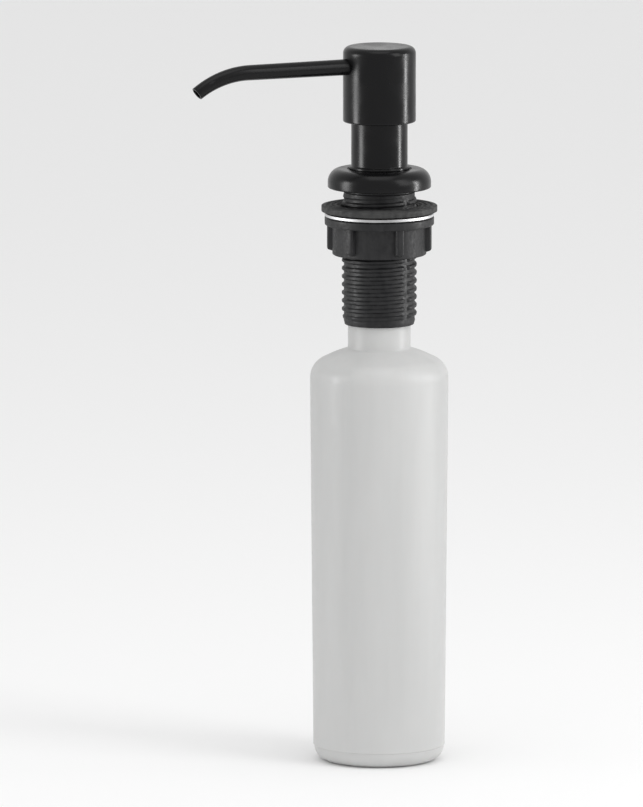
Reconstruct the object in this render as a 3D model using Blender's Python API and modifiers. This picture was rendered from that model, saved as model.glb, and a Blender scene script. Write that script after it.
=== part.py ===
"""Deck-mounted detergent dispenser: a press-down pump head with a bent spout, clamped in a
deck hole, over a bottle that screws up into the shank under the deck.

Metres, +Z up.  The origin is the centre of the deck hole on the deck's top face.  The pump
stands along +Z, the bottle hangs along -Z, and the spout points along -Y.
"""

from math import cos, degrees, pi, radians, sin, tan

import bmesh
import bpy
from mathutils import Matrix

MM = 0.001

# ---- room between pieces ---------------------------------------------------------------------
GAP = 0.3 * MM              # between faces that rest on each other
SLIDE = 0.3 * MM            # radial room where one piece passes through another
THREAD_ROOM = 0.75 * MM     # radial room that a screw thread takes up

# ---- deck and flange -------------------------------------------------------------------------
DECK_THICKNESS = 6.0 * MM
GASKET_THICKNESS = 1.6 * MM
ESCUTCHEON_HEIGHT = 7.4 * MM
ESCUTCHEON_REACH = 5.2 * MM      # past the shank
ESCUTCHEON_EDGE = 3.4 * MM       # radius of the convex bevel
RECESS_DEPTH = 0.6 * MM          # shallow seat for the collar's foot bead
RECESS_SHOWING = 0.6 * MM        # past the bead
ESCUTCHEON_LIFT = 0.4 * MM       # the rim stays clear of the deck while the gasket is soft
SHANK_FLANGE_REACH = 2.75 * MM
SHANK_FLANGE_THICKNESS = 2.0 * MM

# ---- collar (the barrel between flange and head) ---------------------------------------------
COLLAR_RADIUS = 10.35 * MM
COLLAR_WALL = 1.6 * MM
COLLAR_SHOWING = 17.3 * MM       # from the flange's top to the head's lower rim
COLLAR_SPIGOT = 12.0 * MM        # below the deck's top face
FOOT_BEAD_REACH = 0.9 * MM
FOOT_BEAD_HEIGHT = 1.2 * MM

# ---- shank, washers and nut ------------------------------------------------------------------
SHANK_LENGTH = 50.0 * MM         # below the deck's top face
SEAL_LEDGE = 1.6 * MM            # step inside the shank that the bottle seal presses on
SHANK_WALL = 1.5 * MM            # around the bottle's neck
SOCKET_DEPTH = 22.0 * MM         # how far the bottle's neck goes in, with its seal
RUBBER_WASHER_REACH = 7.2 * MM
RUBBER_WASHER_THICKNESS = 2.5 * MM
STEEL_WASHER_REACH = 6.0 * MM
STEEL_WASHER_THICKNESS = 1.2 * MM
NUT_HEIGHT = 14.0 * MM
NUT_HUB_WALL = 3.2 * MM
NUT_FLANGE_REACH = 6.0 * MM      # past the nut's bore
NUT_FLANGE_THICKNESS = 3.0 * MM
NUT_RIBS = 6
NUT_RIB_WIDTH = 3.4 * MM
NUT_RIB_INSET = 0.85 * MM        # from the flange's edge
NUT_RIB_BITE = 1.6 * MM          # how deep a rib is rooted in the hub and in the flange
NUT_RIB_LIFT = 0.75 * MM         # above the nut's lower face

# ---- bottle ----------------------------------------------------------------------------------
BOTTLE_RADIUS = 25.4 * MM
BOTTLE_TAPER = 1.2 * MM          # less radius at the foot
BOTTLE_BODY_HEIGHT = 153.0 * MM  # from the neck's foot down
NECK_SHOWING = 9.0 * MM          # below the shank
NECK_WALL = 1.5 * MM
BOTTLE_WALL = 1.3 * MM
SHOULDER_DEGREES = 22.0          # fall of the shoulder outwards
SHOULDER_ROUND = 8.0 * MM        # radius from the shoulder into the body
HEEL_ROUND = 5.5 * MM
BASE_PUSH_UP = 1.4 * MM
FOOT_RING_WIDTH = 3.0 * MM
BOTTLE_SEAL_THICKNESS = 1.4 * MM

# ---- head and spout --------------------------------------------------------------------------
HEAD_HEIGHT = 27.8 * MM
HEAD_ROOM = 1.4 * MM             # between the skirt and the collar that it slides down over
HEAD_WALL = 1.6 * MM
HEAD_TOP_WALL = 1.6 * MM
HEAD_EDGE = 2.6 * MM
HEAD_RIM_EDGE = 0.7 * MM
INSERT_FLOOR = 1.2 * MM          # below the spout's bore
INSERT_CORE_WALL = 1.4 * MM      # between the stem's socket and the spout's end
INSERT_ROOF = 0.6 * MM           # above the O-ring's groove
SPOUT_RADIUS = 3.0 * MM
SPOUT_TIP_SHARE = 0.83           # tip radius over root radius
SPOUT_BORE_RADIUS = 1.9 * MM
SPOUT_STRAIGHT = 52.0 * MM       # from the pump's axis to the start of the bend
SPOUT_BEND_RADIUS = 35.4 * MM
SPOUT_BEND_DEGREES = 36.0
LINER_WALL = 0.6 * MM
LINER_RECESS = 1.6 * MM           # how far the liner ends inside the spout's tip
RING_THICKNESS = 1.0 * MM        # O-ring round the spout
RING_DEPTH_IN = 4.2 * MM         # from the insert's side to the middle of the O-ring

# ---- pump ------------------------------------------------------------------------------------
STROKE = 12.0 * MM
STROKE_ROOM = 0.5 * MM
COLLAR_GASKET_THICKNESS = 0.8 * MM
CHAPLET_FLANGE_THICKNESS = 1.0 * MM
CHAPLET_SKIRT = 8.0 * MM
CHAPLET_WALL = 1.2 * MM
HOUSING_TOP_WALL = 1.75 * MM
HOUSING_WALL = 1.0 * MM
STEM_RADIUS = 2.5 * MM
STEM_BORE_RADIUS = 1.4 * MM
STEM_SOCKET = 2.6 * MM
STEM_FOOT_THICKNESS = 1.3 * MM
STEM_SEAL_HEIGHT = 1.5 * MM
PISTON_HEIGHT = 6.0 * MM
PISTON_LIP = 1.2 * MM            # height of each sealing lip
PISTON_WAIST_SHARE = 0.4         # of the piston's wall that is cut away between its lips
SPRING_LENGTH = 24.0 * MM
SPRING_WIRE = 0.9 * MM
SPRING_TURNS = 7
SPRING_END_PITCH = 1.15          # rise of each closed end turn, over the wire's thickness
BALL_CAGE_THICKNESS = 1.0 * MM
INLET_BALL_RADIUS = 2.0 * MM
INLET_SEAT_RADIUS = 1.2 * MM
INLET_CHAMBER_DEPTH = 5.0 * MM
OUTLET_BALL_RADIUS = 1.3 * MM
OUTLET_SEAT_RADIUS = 0.8 * MM
SEAT_THROAT = 0.8 * MM
BALL_ROOM = 0.5 * MM             # round a ball in its chamber
DIP_TUBE_RADIUS = 2.5 * MM
DIP_TUBE_WALL = 0.8 * MM
DIP_SOCKET_DEPTH = 9.0 * MM
DIP_SOCKET_WALL = 1.4 * MM
DIP_TUBE_CLEAR = 5.0 * MM        # above the bottle's floor

# ---- how finely round shapes are divided -----------------------------------------------------
OUTER_SIDES = 32
INNER_SIDES = 24
SMALL_SIDES = 16
BALL_RINGS = 10
O_RING_SIDES = 8
SPOUT_BEND_STEPS = 9
STEPS_PER_COIL = 12

# ---- radii that follow from the collar, outwards ---------------------------------------------
head_inner = COLLAR_RADIUS + HEAD_ROOM
head_radius = head_inner + HEAD_WALL
shank_bore = COLLAR_RADIUS + SLIDE
socket_radius = shank_bore + SEAL_LEDGE
shank_radius = socket_radius + SHANK_WALL
shank_flange_radius = shank_radius + SHANK_FLANGE_REACH
escutcheon_radius = shank_radius + ESCUTCHEON_REACH
washer_bore = shank_radius + SLIDE
neck_radius = socket_radius - THREAD_ROOM
neck_inner = neck_radius - NECK_WALL

# ---- radii that follow from the collar, inwards ----------------------------------------------
collar_inner = COLLAR_RADIUS - COLLAR_WALL
chaplet_radius = collar_inner - SLIDE
chaplet_inner = chaplet_radius - CHAPLET_WALL
housing_top_radius = chaplet_inner - SLIDE
cylinder_bore = housing_top_radius - HOUSING_TOP_WALL
housing_radius = cylinder_bore + HOUSING_WALL
piston_radius = cylinder_bore - SLIDE
stem_hole = STEM_RADIUS + SLIDE
dip_socket_radius = DIP_TUBE_RADIUS + SLIDE

# ---- heights above the deck, from the flange up ----------------------------------------------
shank_flange_bottom = GASKET_THICKNESS + GAP
shank_flange_top = shank_flange_bottom + SHANK_FLANGE_THICKNESS
bead_bottom = ESCUTCHEON_HEIGHT - RECESS_DEPTH + GAP
head_bottom = ESCUTCHEON_HEIGHT + COLLAR_SHOWING
head_top = head_bottom + HEAD_HEIGHT
spout_hole = SPOUT_RADIUS + SLIDE
ring_groove_radius = spout_hole + RING_THICKNESS + GAP
insert_top = head_top - HEAD_TOP_WALL - GAP
spout_height = insert_top - INSERT_ROOF - ring_groove_radius
spout_root = STEM_RADIUS + SLIDE + INSERT_CORE_WALL
channel_radius = OUTLET_BALL_RADIUS - GAP
insert_bottom = spout_height - spout_hole - INSERT_FLOOR

# ---- heights of the pump, from the head down -------------------------------------------------
chaplet_top = insert_bottom - STROKE - STROKE_ROOM
chaplet_bottom = chaplet_top - CHAPLET_FLANGE_THICKNESS
collar_gasket_bottom = chaplet_bottom - GAP - COLLAR_GASKET_THICKNESS
collar_top = collar_gasket_bottom - GAP
housing_top = chaplet_bottom - GAP
stem_seal_bottom = housing_top - STEM_SEAL_HEIGHT
piston_top = stem_seal_bottom - GAP
piston_bottom = piston_top - PISTON_HEIGHT
stem_foot_top = piston_bottom - GAP
stem_bottom = stem_foot_top - STEM_FOOT_THICKNESS
spring_top = stem_bottom - GAP
spring_bottom = spring_top - SPRING_LENGTH
cage_top = spring_bottom - GAP
cage_bottom = cage_top - BALL_CAGE_THICKNESS
cylinder_floor = cage_bottom - GAP
stem_top = insert_bottom + STEM_SOCKET - GAP

# ---- heights under the deck ------------------------------------------------------------------
rubber_washer_top = -DECK_THICKNESS
rubber_washer_bottom = rubber_washer_top - RUBBER_WASHER_THICKNESS
steel_washer_top = rubber_washer_bottom - GAP
steel_washer_bottom = steel_washer_top - STEEL_WASHER_THICKNESS
nut_top = steel_washer_bottom - GAP
nut_bottom = nut_top - NUT_HEIGHT
ledge_height = -(SHANK_LENGTH - SOCKET_DEPTH)
bottle_seal_top = ledge_height - GAP
bottle_seal_bottom = bottle_seal_top - BOTTLE_SEAL_THICKNESS
bottle_rim = bottle_seal_bottom - GAP
neck_foot = -(SHANK_LENGTH + NECK_SHOWING)
shoulder_fall = tan(radians(SHOULDER_DEGREES))
round_start = BOTTLE_RADIUS - SHOULDER_ROUND * (1.0 - sin(radians(SHOULDER_DEGREES)))
shoulder_centre = (neck_foot - (round_start - neck_radius) * shoulder_fall
                   - SHOULDER_ROUND * cos(radians(SHOULDER_DEGREES)))
bottle_bottom = neck_foot - BOTTLE_BODY_HEIGHT
bottle_floor = bottle_bottom + BASE_PUSH_UP + BOTTLE_WALL
dip_tube_bottom = bottle_floor + DIP_TUBE_CLEAR


# ---- tools -----------------------------------------------------------------------------------
def start_clean():
    """Remove what the scene holds and make the two collections."""
    for obj in list(bpy.data.objects):
        bpy.data.objects.remove(obj, do_unlink=True)
    made = []
    for name in ("detergent_dispenser", "cutters"):
        collection = bpy.data.collections.new(name)
        bpy.context.scene.collection.children.link(collection)
        made.append(collection)
    return made


def finish(name, colour, roughness, metallic=0.0):
    """A plain material of one colour."""
    material = bpy.data.materials.new(name)
    material.use_nodes = True
    shader = material.node_tree.nodes["Principled BSDF"]
    shader.inputs["Base Color"].default_value = (*colour, 1.0)
    shader.inputs["Roughness"].default_value = roughness
    shader.inputs["Metallic"].default_value = metallic
    return material


def arc(centre_r, centre_z, radius, start, end, steps=4):
    """Points along an arc in the turning plane, angles in degrees from +r towards +z."""
    points = []
    for i in range(steps + 1):
        angle = radians(start + (end - start) * i / steps)
        points.append((centre_r + radius * cos(angle), centre_z + radius * sin(angle)))
    return points


def add_part(name, mesh, material):
    """Put a mesh in the parts collection as an object."""
    obj = bpy.data.objects.new(name, mesh)
    PARTS.objects.link(obj)
    obj.data.materials.clear()
    obj.data.materials.append(material)
    return obj


def turned(name, outline, material, sides=INNER_SIDES, ring=True):
    """A piece turned about Z.  The outline runs down the outer side and up the inner one."""
    mesh = bpy.data.meshes.new(name)
    edges = [(i, i + 1) for i in range(len(outline) - 1)]
    if ring:
        edges.append((len(outline) - 1, 0))
    mesh.from_pydata([(r, 0.0, z) for r, z in outline], edges, [])
    obj = add_part(name, mesh, material)
    screw = obj.modifiers.new("turn", 'SCREW')
    screw.steps = sides
    screw.render_steps = sides
    screw.use_merge_vertices = True
    screw.merge_threshold = 0.00001
    return obj


def plain_ring(name, inner, outer, bottom, top, material, sides=INNER_SIDES):
    """A flat washer."""
    outline = [(outer, top), (outer, bottom), (inner, bottom), (inner, top)]
    return turned(name, outline, material, sides)


def ball(name, radius, height, material):
    """A ball on the pump's axis, with its origin at its centre."""
    bpy.ops.mesh.primitive_uv_sphere_add(segments=SMALL_SIDES, ring_count=BALL_RINGS, radius=radius,
                                         location=(0.0, 0.0, height))
    return take(name, material)


def take(name, material, collection=None):
    """Name the object just added, and move it to its collection."""
    obj = bpy.context.object
    obj.name = name
    obj.data.name = name
    for holder in list(obj.users_collection):
        holder.objects.unlink(obj)
    (collection or PARTS).objects.link(obj)
    obj.data.materials.clear()
    obj.data.materials.append(material)
    return obj


def as_cutter(obj):
    """Keep an object out of the part and show it as wire."""
    for holder in list(obj.users_collection):
        holder.objects.unlink(obj)
    CUTTERS.objects.link(obj)
    obj.hide_render = True
    obj.display_type = 'WIRE'
    return obj


def side_bore(name, radius, inner, outer, height, material):
    """A cutter along -Y, from one distance off the axis to another."""
    bpy.ops.mesh.primitive_cylinder_add(vertices=SMALL_SIDES, radius=radius, depth=outer - inner,
                                        location=(0.0, -(inner + outer) / 2.0, height),
                                        rotation=(pi / 2.0, 0.0, 0.0))
    return as_cutter(take(name, material, CUTTERS))


def combine(obj, other, operation):
    """Cut or join another object."""
    step = obj.modifiers.new(operation.lower(), 'BOOLEAN')
    step.operation = operation
    step.solver = 'EXACT'
    step.object = other


def smooth(obj, degrees=40.0):
    """Shade a finished mesh smooth, with its corners left sharp."""
    obj.data.shade_smooth()
    obj.data.set_sharp_from_angle(angle=radians(degrees))


def swept(name, points, radius, material, resolution, tip_share=1.0):
    """A solid round rod along a list of points, thinner towards its end, as a mesh."""
    curve = bpy.data.curves.new(name + "_path", 'CURVE')
    curve.dimensions = '3D'
    curve.bevel_depth = radius
    curve.bevel_resolution = resolution
    curve.use_fill_caps = True
    spline = curve.splines.new('POLY')
    spline.points.add(len(points) - 1)
    for i, point in enumerate(points):
        spline.points[i].co = (*point, 1.0)
        spline.points[i].radius = 1.0 + (tip_share - 1.0) * i / (len(points) - 1)
    path = bpy.data.objects.new(name + "_path", curve)
    CUTTERS.objects.link(path)
    bpy.context.view_layer.update()
    depsgraph = bpy.context.evaluated_depsgraph_get()
    mesh = bpy.data.meshes.new_from_object(path.evaluated_get(depsgraph))
    mesh.name = name
    bpy.data.objects.remove(path, do_unlink=True)
    shape = bmesh.new()
    shape.from_mesh(mesh)
    bmesh.ops.remove_doubles(shape, verts=shape.verts, dist=0.00001)
    bmesh.ops.recalc_face_normals(shape, faces=shape.faces)
    shape.to_mesh(mesh)
    shape.free()
    return add_part(name, mesh, material)


# ---- base: what stays in the deck ------------------------------------------------------------
def make_flange_gasket():
    plain_ring("flange_gasket", washer_bore, shank_flange_radius, 0.0, GASKET_THICKNESS,
               RUBBER, OUTER_SIDES)


def make_threaded_shank():
    """Tube through the deck hole: a flange on top, a ledge inside, and the bottle's socket."""
    turned("threaded_shank", [
        (shank_flange_radius, shank_flange_top),
        (shank_flange_radius, shank_flange_bottom),
        (shank_radius, shank_flange_bottom),
        (shank_radius, -SHANK_LENGTH),
        (socket_radius, -SHANK_LENGTH),
        (socket_radius, ledge_height),
        (shank_bore, ledge_height),
        (shank_bore, shank_flange_top),
    ], MOULDED_BLACK, OUTER_SIDES)


def make_escutcheon():
    """Trim ring over the shank's flange: a short upright edge under a convex bevel."""
    cavity = shank_flange_radius + GAP
    cavity_top = shank_flange_top + GAP
    bevel_centre = escutcheon_radius - ESCUTCHEON_EDGE
    recess = COLLAR_RADIUS + FOOT_BEAD_REACH + RECESS_SHOWING
    outline = [(recess, ESCUTCHEON_HEIGHT - RECESS_DEPTH), (recess, ESCUTCHEON_HEIGHT)]
    outline += arc(bevel_centre, ESCUTCHEON_HEIGHT - ESCUTCHEON_EDGE, ESCUTCHEON_EDGE, 90.0, 0.0, 6)
    outline += [
        (escutcheon_radius, ESCUTCHEON_LIFT),
        (cavity, ESCUTCHEON_LIFT),
        (cavity, cavity_top),
        (shank_bore, cavity_top),
        (shank_bore, ESCUTCHEON_HEIGHT - RECESS_DEPTH),
    ]
    turned("escutcheon", outline, SATIN_BLACK, OUTER_SIDES)


def make_collar():
    """Barrel that the head slides down over.  Its foot bead holds the trim ring down."""
    bead_top = bead_bottom + FOOT_BEAD_HEIGHT
    bead_radius = COLLAR_RADIUS + FOOT_BEAD_REACH
    outline = [(COLLAR_RADIUS, collar_top)]
    outline += arc(COLLAR_RADIUS, bead_top - FOOT_BEAD_REACH, FOOT_BEAD_REACH, 90.0, 0.0, 3)
    outline += [
        (bead_radius, bead_bottom),
        (COLLAR_RADIUS, bead_bottom),
        (COLLAR_RADIUS, -COLLAR_SPIGOT),
        (collar_inner, -COLLAR_SPIGOT),
        (collar_inner, collar_top),
    ]
    turned("collar", outline, SATIN_BLACK, OUTER_SIDES)


# ---- clamp under the deck --------------------------------------------------------------------
def make_washers():
    plain_ring("under_deck_washer", washer_bore, washer_bore + RUBBER_WASHER_REACH,
               rubber_washer_bottom, rubber_washer_top, RUBBER, OUTER_SIDES)
    plain_ring("friction_washer", washer_bore, washer_bore + STEEL_WASHER_REACH,
               steel_washer_bottom, steel_washer_top, STEEL, OUTER_SIDES)


def make_mounting_nut():
    """Hand nut: a flanged hub with finger ribs."""
    flange = washer_bore + NUT_FLANGE_REACH
    hub = washer_bore + NUT_HUB_WALL
    nut = turned("mounting_nut", [
        (flange, nut_top),
        (flange, nut_top - NUT_FLANGE_THICKNESS),
        (hub, nut_top - NUT_FLANGE_THICKNESS),
        (hub, nut_bottom),
        (washer_bore, nut_bottom),
        (washer_bore, nut_top),
    ], MOULDED_BLACK, OUTER_SIDES)
    inner = hub - NUT_RIB_BITE
    outer = flange - NUT_RIB_INSET
    low = nut_bottom + NUT_RIB_LIFT
    high = nut_top - NUT_FLANGE_THICKNESS + NUT_RIB_BITE
    ribs = bmesh.new()
    for i in range(NUT_RIBS):
        turn = Matrix.Rotation(2.0 * pi * i / NUT_RIBS, 4, 'Z')
        place = Matrix.Translation(((inner + outer) / 2.0, 0.0, (low + high) / 2.0))
        size = Matrix.Diagonal((outer - inner, NUT_RIB_WIDTH, high - low, 1.0))
        bmesh.ops.create_cube(ribs, size=1.0, matrix=turn @ place @ size)
    mesh = bpy.data.meshes.new("nut_ribs")
    ribs.to_mesh(mesh)
    ribs.free()
    combine(nut, as_cutter(add_part("nut_ribs", mesh, MOULDED_BLACK)), 'UNION')


# ---- bottle ----------------------------------------------------------------------------------
def bottle_wall(neck, inset):
    """One skin of the bottle from the neck's foot down to the heel, inset from the outside."""
    shoulder_radius = SHOULDER_ROUND - inset
    heel_radius = HEEL_ROUND - inset
    centre_r = BOTTLE_RADIUS - SHOULDER_ROUND
    skin = arc(centre_r, shoulder_centre, shoulder_radius, 90.0 - SHOULDER_DEGREES, 0.0, 5)
    start_r, start_z = skin[0]
    skin.insert(0, (neck, start_z + (start_r - neck) * shoulder_fall))
    skin += arc(BOTTLE_RADIUS - BOTTLE_TAPER - HEEL_ROUND, bottle_bottom + HEEL_ROUND,
                heel_radius, 0.0, -90.0, 4)
    return skin


def make_bottle():
    """Blown bottle: threaded neck, sloping shoulder, slightly tapered body, pushed-up base."""
    outer = bottle_wall(neck_radius, 0.0)
    inner = bottle_wall(neck_inner, BOTTLE_WALL)
    ring_inner = outer[-1][0] - FOOT_RING_WIDTH
    outline = [(0.0, bottle_floor), (ring_inner - BOTTLE_WALL, bottle_floor)]
    outline += reversed(inner)
    outline += [(neck_inner, bottle_rim), (neck_radius, bottle_rim)]
    outline += outer
    outline += [
        (ring_inner, bottle_bottom),
        (ring_inner - BASE_PUSH_UP, bottle_bottom + BASE_PUSH_UP),
        (0.0, bottle_bottom + BASE_PUSH_UP),
    ]
    turned("bottle", outline, MILKY_PLASTIC, OUTER_SIDES, ring=False)


def make_bottle_seal():
    plain_ring("bottle_seal", neck_inner, socket_radius - SLIDE, bottle_seal_bottom,
               bottle_seal_top, RUBBER)


# ---- pump unit: lifts out of the collar for refilling ----------------------------------------
def make_collar_gasket():
    plain_ring("collar_gasket", chaplet_radius + SLIDE, COLLAR_RADIUS, collar_gasket_bottom,
               collar_gasket_bottom + COLLAR_GASKET_THICKNESS, RUBBER)


def make_chaplet():
    """Screwed cap of the pump: it guides the stem and rests on the collar."""
    turned("chaplet", [
        (COLLAR_RADIUS, chaplet_top),
        (COLLAR_RADIUS, chaplet_bottom),
        (chaplet_radius, chaplet_bottom),
        (chaplet_radius, chaplet_bottom - CHAPLET_SKIRT),
        (chaplet_inner, chaplet_bottom - CHAPLET_SKIRT),
        (chaplet_inner, chaplet_bottom),
        (stem_hole, chaplet_bottom),
        (stem_hole, chaplet_top),
    ], WHITE_PLASTIC)


def make_pump_housing():
    """Pump cylinder, with the inlet ball's chamber and the dip tube's socket below."""
    chamber = INLET_BALL_RADIUS + BALL_ROOM
    chamber_bottom = cylinder_floor - INLET_CHAMBER_DEPTH
    throat_top = chamber_bottom - (chamber - INLET_SEAT_RADIUS)
    socket_top = throat_top - SEAT_THROAT
    socket_bottom = socket_top - DIP_SOCKET_DEPTH
    snout = dip_socket_radius + DIP_SOCKET_WALL
    thread_end = chaplet_bottom - CHAPLET_SKIRT - GAP
    turned("pump_housing", [
        (housing_top_radius, housing_top),
        (housing_top_radius, thread_end),
        (housing_radius, thread_end - GAP),
        (housing_radius, cylinder_floor - HOUSING_WALL),
        (snout, chamber_bottom),
        (snout, socket_bottom),
        (dip_socket_radius, socket_bottom),
        (dip_socket_radius, socket_top),
        (INLET_SEAT_RADIUS, socket_top),
        (INLET_SEAT_RADIUS, throat_top),
        (chamber, chamber_bottom),
        (chamber, cylinder_floor),
        (cylinder_bore, cylinder_floor),
        (cylinder_bore, housing_top),
    ], WHITE_PLASTIC)
    turned("dip_tube", [
        (DIP_TUBE_RADIUS, socket_top - GAP),
        (DIP_TUBE_RADIUS, dip_tube_bottom),
        (DIP_TUBE_RADIUS - DIP_TUBE_WALL, dip_tube_bottom),
        (DIP_TUBE_RADIUS - DIP_TUBE_WALL, socket_top - GAP),
    ], CLEAR_TUBE, SMALL_SIDES)
    seat_to_centre = (INLET_BALL_RADIUS + GAP) * 2.0 ** 0.5
    ball("inlet_ball", INLET_BALL_RADIUS, chamber_bottom - chamber + seat_to_centre, STEEL)


def make_stem_seal():
    plain_ring("stem_seal", stem_hole, piston_radius, stem_seal_bottom, housing_top - GAP, RUBBER)


def make_ball_cage():
    plain_ring("ball_cage", INLET_SEAT_RADIUS, piston_radius, cage_bottom, cage_top, WHITE_PLASTIC,
               SMALL_SIDES)


def make_return_spring():
    """Compression spring with one close turn at each end."""
    coil_radius = piston_radius - SLIDE - SPRING_WIRE / 2.0
    close_pitch = SPRING_WIRE * SPRING_END_PITCH
    path_length = SPRING_LENGTH - SPRING_WIRE
    open_pitch = (path_length - 2.0 * close_pitch) / (SPRING_TURNS - 2.0)
    points = []
    for i in range(SPRING_TURNS * STEPS_PER_COIL + 1):
        turn = i / STEPS_PER_COIL
        close = min(turn, 1.0) + max(turn - (SPRING_TURNS - 1.0), 0.0)
        rise = close * close_pitch + (turn - close) * open_pitch
        angle = 2.0 * pi * turn
        points.append((coil_radius * cos(angle), coil_radius * sin(angle),
                       spring_bottom + SPRING_WIRE / 2.0 + rise))
    smooth(swept("return_spring", points, SPRING_WIRE / 2.0, STEEL, 2))


# ---- plunger ---------------------------------------------------------------------------------
def make_stem():
    """Hollow stem: a foot that carries the piston, and the outlet ball's chamber on top."""
    chamber = OUTLET_BALL_RADIUS + BALL_ROOM
    chamber_bottom = stem_top - 2.0 * OUTLET_BALL_RADIUS
    seat_bottom = chamber_bottom - (chamber - OUTLET_SEAT_RADIUS)
    throat_bottom = seat_bottom - SEAT_THROAT
    foot = piston_radius - SLIDE
    turned("stem", [
        (STEM_RADIUS, stem_top),
        (STEM_RADIUS, stem_foot_top),
        (foot, stem_foot_top),
        (foot, stem_bottom),
        (STEM_BORE_RADIUS, stem_bottom),
        (STEM_BORE_RADIUS, throat_bottom),
        (OUTLET_SEAT_RADIUS, throat_bottom),
        (OUTLET_SEAT_RADIUS, seat_bottom),
        (chamber, chamber_bottom),
        (chamber, stem_top),
    ], WHITE_PLASTIC, SMALL_SIDES)
    seat_to_centre = (OUTLET_BALL_RADIUS + GAP) * 2.0 ** 0.5
    ball("outlet_ball", OUTLET_BALL_RADIUS, chamber_bottom - chamber + seat_to_centre, STEEL)


def make_piston():
    """Piston with a sealing lip at each end."""
    waist = piston_radius - (piston_radius - stem_hole) * PISTON_WAIST_SHARE
    turned("piston", [
        (piston_radius, piston_top),
        (piston_radius, piston_top - PISTON_LIP),
        (waist, piston_top - 2.0 * PISTON_LIP),
        (waist, piston_bottom + 2.0 * PISTON_LIP),
        (piston_radius, piston_bottom + PISTON_LIP),
        (piston_radius, piston_bottom),
        (stem_hole, piston_bottom),
        (stem_hole, piston_top),
    ], RUBBER)


# ---- head ------------------------------------------------------------------------------------
def make_pump_head():
    """Hollow head: a round-edged cap whose skirt slides down over the collar."""
    rim = HEAD_RIM_EDGE
    outline = [(0.0, head_top)]
    outline += arc(head_radius - HEAD_EDGE, head_top - HEAD_EDGE, HEAD_EDGE, 90.0, 0.0, 5)
    outline += arc(head_radius - rim, head_bottom + rim, rim, 0.0, -90.0, 2)
    outline += [
        (head_inner, head_bottom),
        (head_inner, head_top - HEAD_TOP_WALL),
        (0.0, head_top - HEAD_TOP_WALL),
    ]
    head = turned("pump_head", outline, SATIN_BLACK, OUTER_SIDES, ring=False)
    combine(head, side_bore("head_side_hole", spout_hole, head_inner - HEAD_WALL,
                            head_radius + HEAD_WALL, spout_height, SATIN_BLACK), 'DIFFERENCE')


def make_head_insert():
    """Core of the head: a socket for the stem below, and a stepped bore for the spout."""
    insert_radius = head_inner - SLIDE
    socket_top = insert_bottom + STEM_SOCKET
    insert = turned("head_insert", [
        (0.0, insert_top),
        (insert_radius, insert_top),
        (insert_radius, insert_bottom),
        (stem_hole, insert_bottom),
        (stem_hole, socket_top),
        (channel_radius, socket_top),
        (channel_radius, spout_height),
        (0.0, spout_height),
    ], WHITE_PLASTIC, ring=False)
    ring_y = insert_radius - RING_DEPTH_IN
    groove_half = RING_THICKNESS / 2.0 + GAP
    bores = [
        ("insert_spout_bore", spout_hole, spout_root, head_radius),
        ("insert_ring_groove", ring_groove_radius, ring_y - groove_half,
         ring_y + groove_half),
        ("insert_channel", channel_radius, 0.0, spout_root + GAP),
    ]
    for name, radius, inner, outer in bores:
        combine(insert, side_bore(name, radius, inner, outer, spout_height, WHITE_PLASTIC),
                'DIFFERENCE')


def make_spout_ring():
    """O-ring round the spout, in the insert's groove."""
    thickness = RING_THICKNESS / 2.0
    ring_y = head_inner - SLIDE - RING_DEPTH_IN
    bpy.ops.mesh.primitive_torus_add(major_segments=INNER_SIDES,
                                     minor_segments=O_RING_SIDES,
                                     major_radius=spout_hole + thickness, minor_radius=thickness,
                                     location=(0.0, -ring_y, spout_height),
                                     rotation=(pi / 2.0, 0.0, 0.0))
    smooth(take("spout_o_ring", RUBBER))


def spout_path(start, bend=SPOUT_BEND_DEGREES, overrun=0.0):
    """The spout's centre line: straight out of the head, then one bend down."""
    points = [(0.0, -start, spout_height), (0.0, -SPOUT_STRAIGHT / 2.0, spout_height)]
    for i in range(SPOUT_BEND_STEPS + 1):
        angle = radians(bend * i / SPOUT_BEND_STEPS)
        points.append((0.0, -SPOUT_STRAIGHT - SPOUT_BEND_RADIUS * sin(angle),
                       spout_height - SPOUT_BEND_RADIUS * (1.0 - cos(angle))))
    if overrun > 0.0:
        angle = radians(bend)
        x, y, z = points[-1]
        points.append((x, y - overrun * cos(angle), z - overrun * sin(angle)))
    return points


def make_spout():
    """Metal spout over its plastic liner, both open at the tip."""
    spout = swept("spout", spout_path(spout_root + GAP), SPOUT_RADIUS, SATIN_BLACK, 6,
                  SPOUT_TIP_SHARE)
    bore = swept("spout_bore", spout_path(spout_root - GAP, overrun=SPOUT_RADIUS),
                 SPOUT_BORE_RADIUS, SATIN_BLACK, 4)
    combine(spout, as_cutter(bore), 'DIFFERENCE')
    liner_radius = SPOUT_BORE_RADIUS - SLIDE
    liner_bend = SPOUT_BEND_DEGREES - degrees(LINER_RECESS / SPOUT_BEND_RADIUS)
    liner = swept("spout_liner", spout_path(spout_root + 2.0 * GAP, liner_bend), liner_radius,
                  WHITE_PLASTIC, 2)
    hole = swept("liner_bore", spout_path(spout_root, liner_bend, SPOUT_RADIUS),
                 liner_radius - LINER_WALL, WHITE_PLASTIC, 2)
    combine(liner, as_cutter(hole), 'DIFFERENCE')


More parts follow.
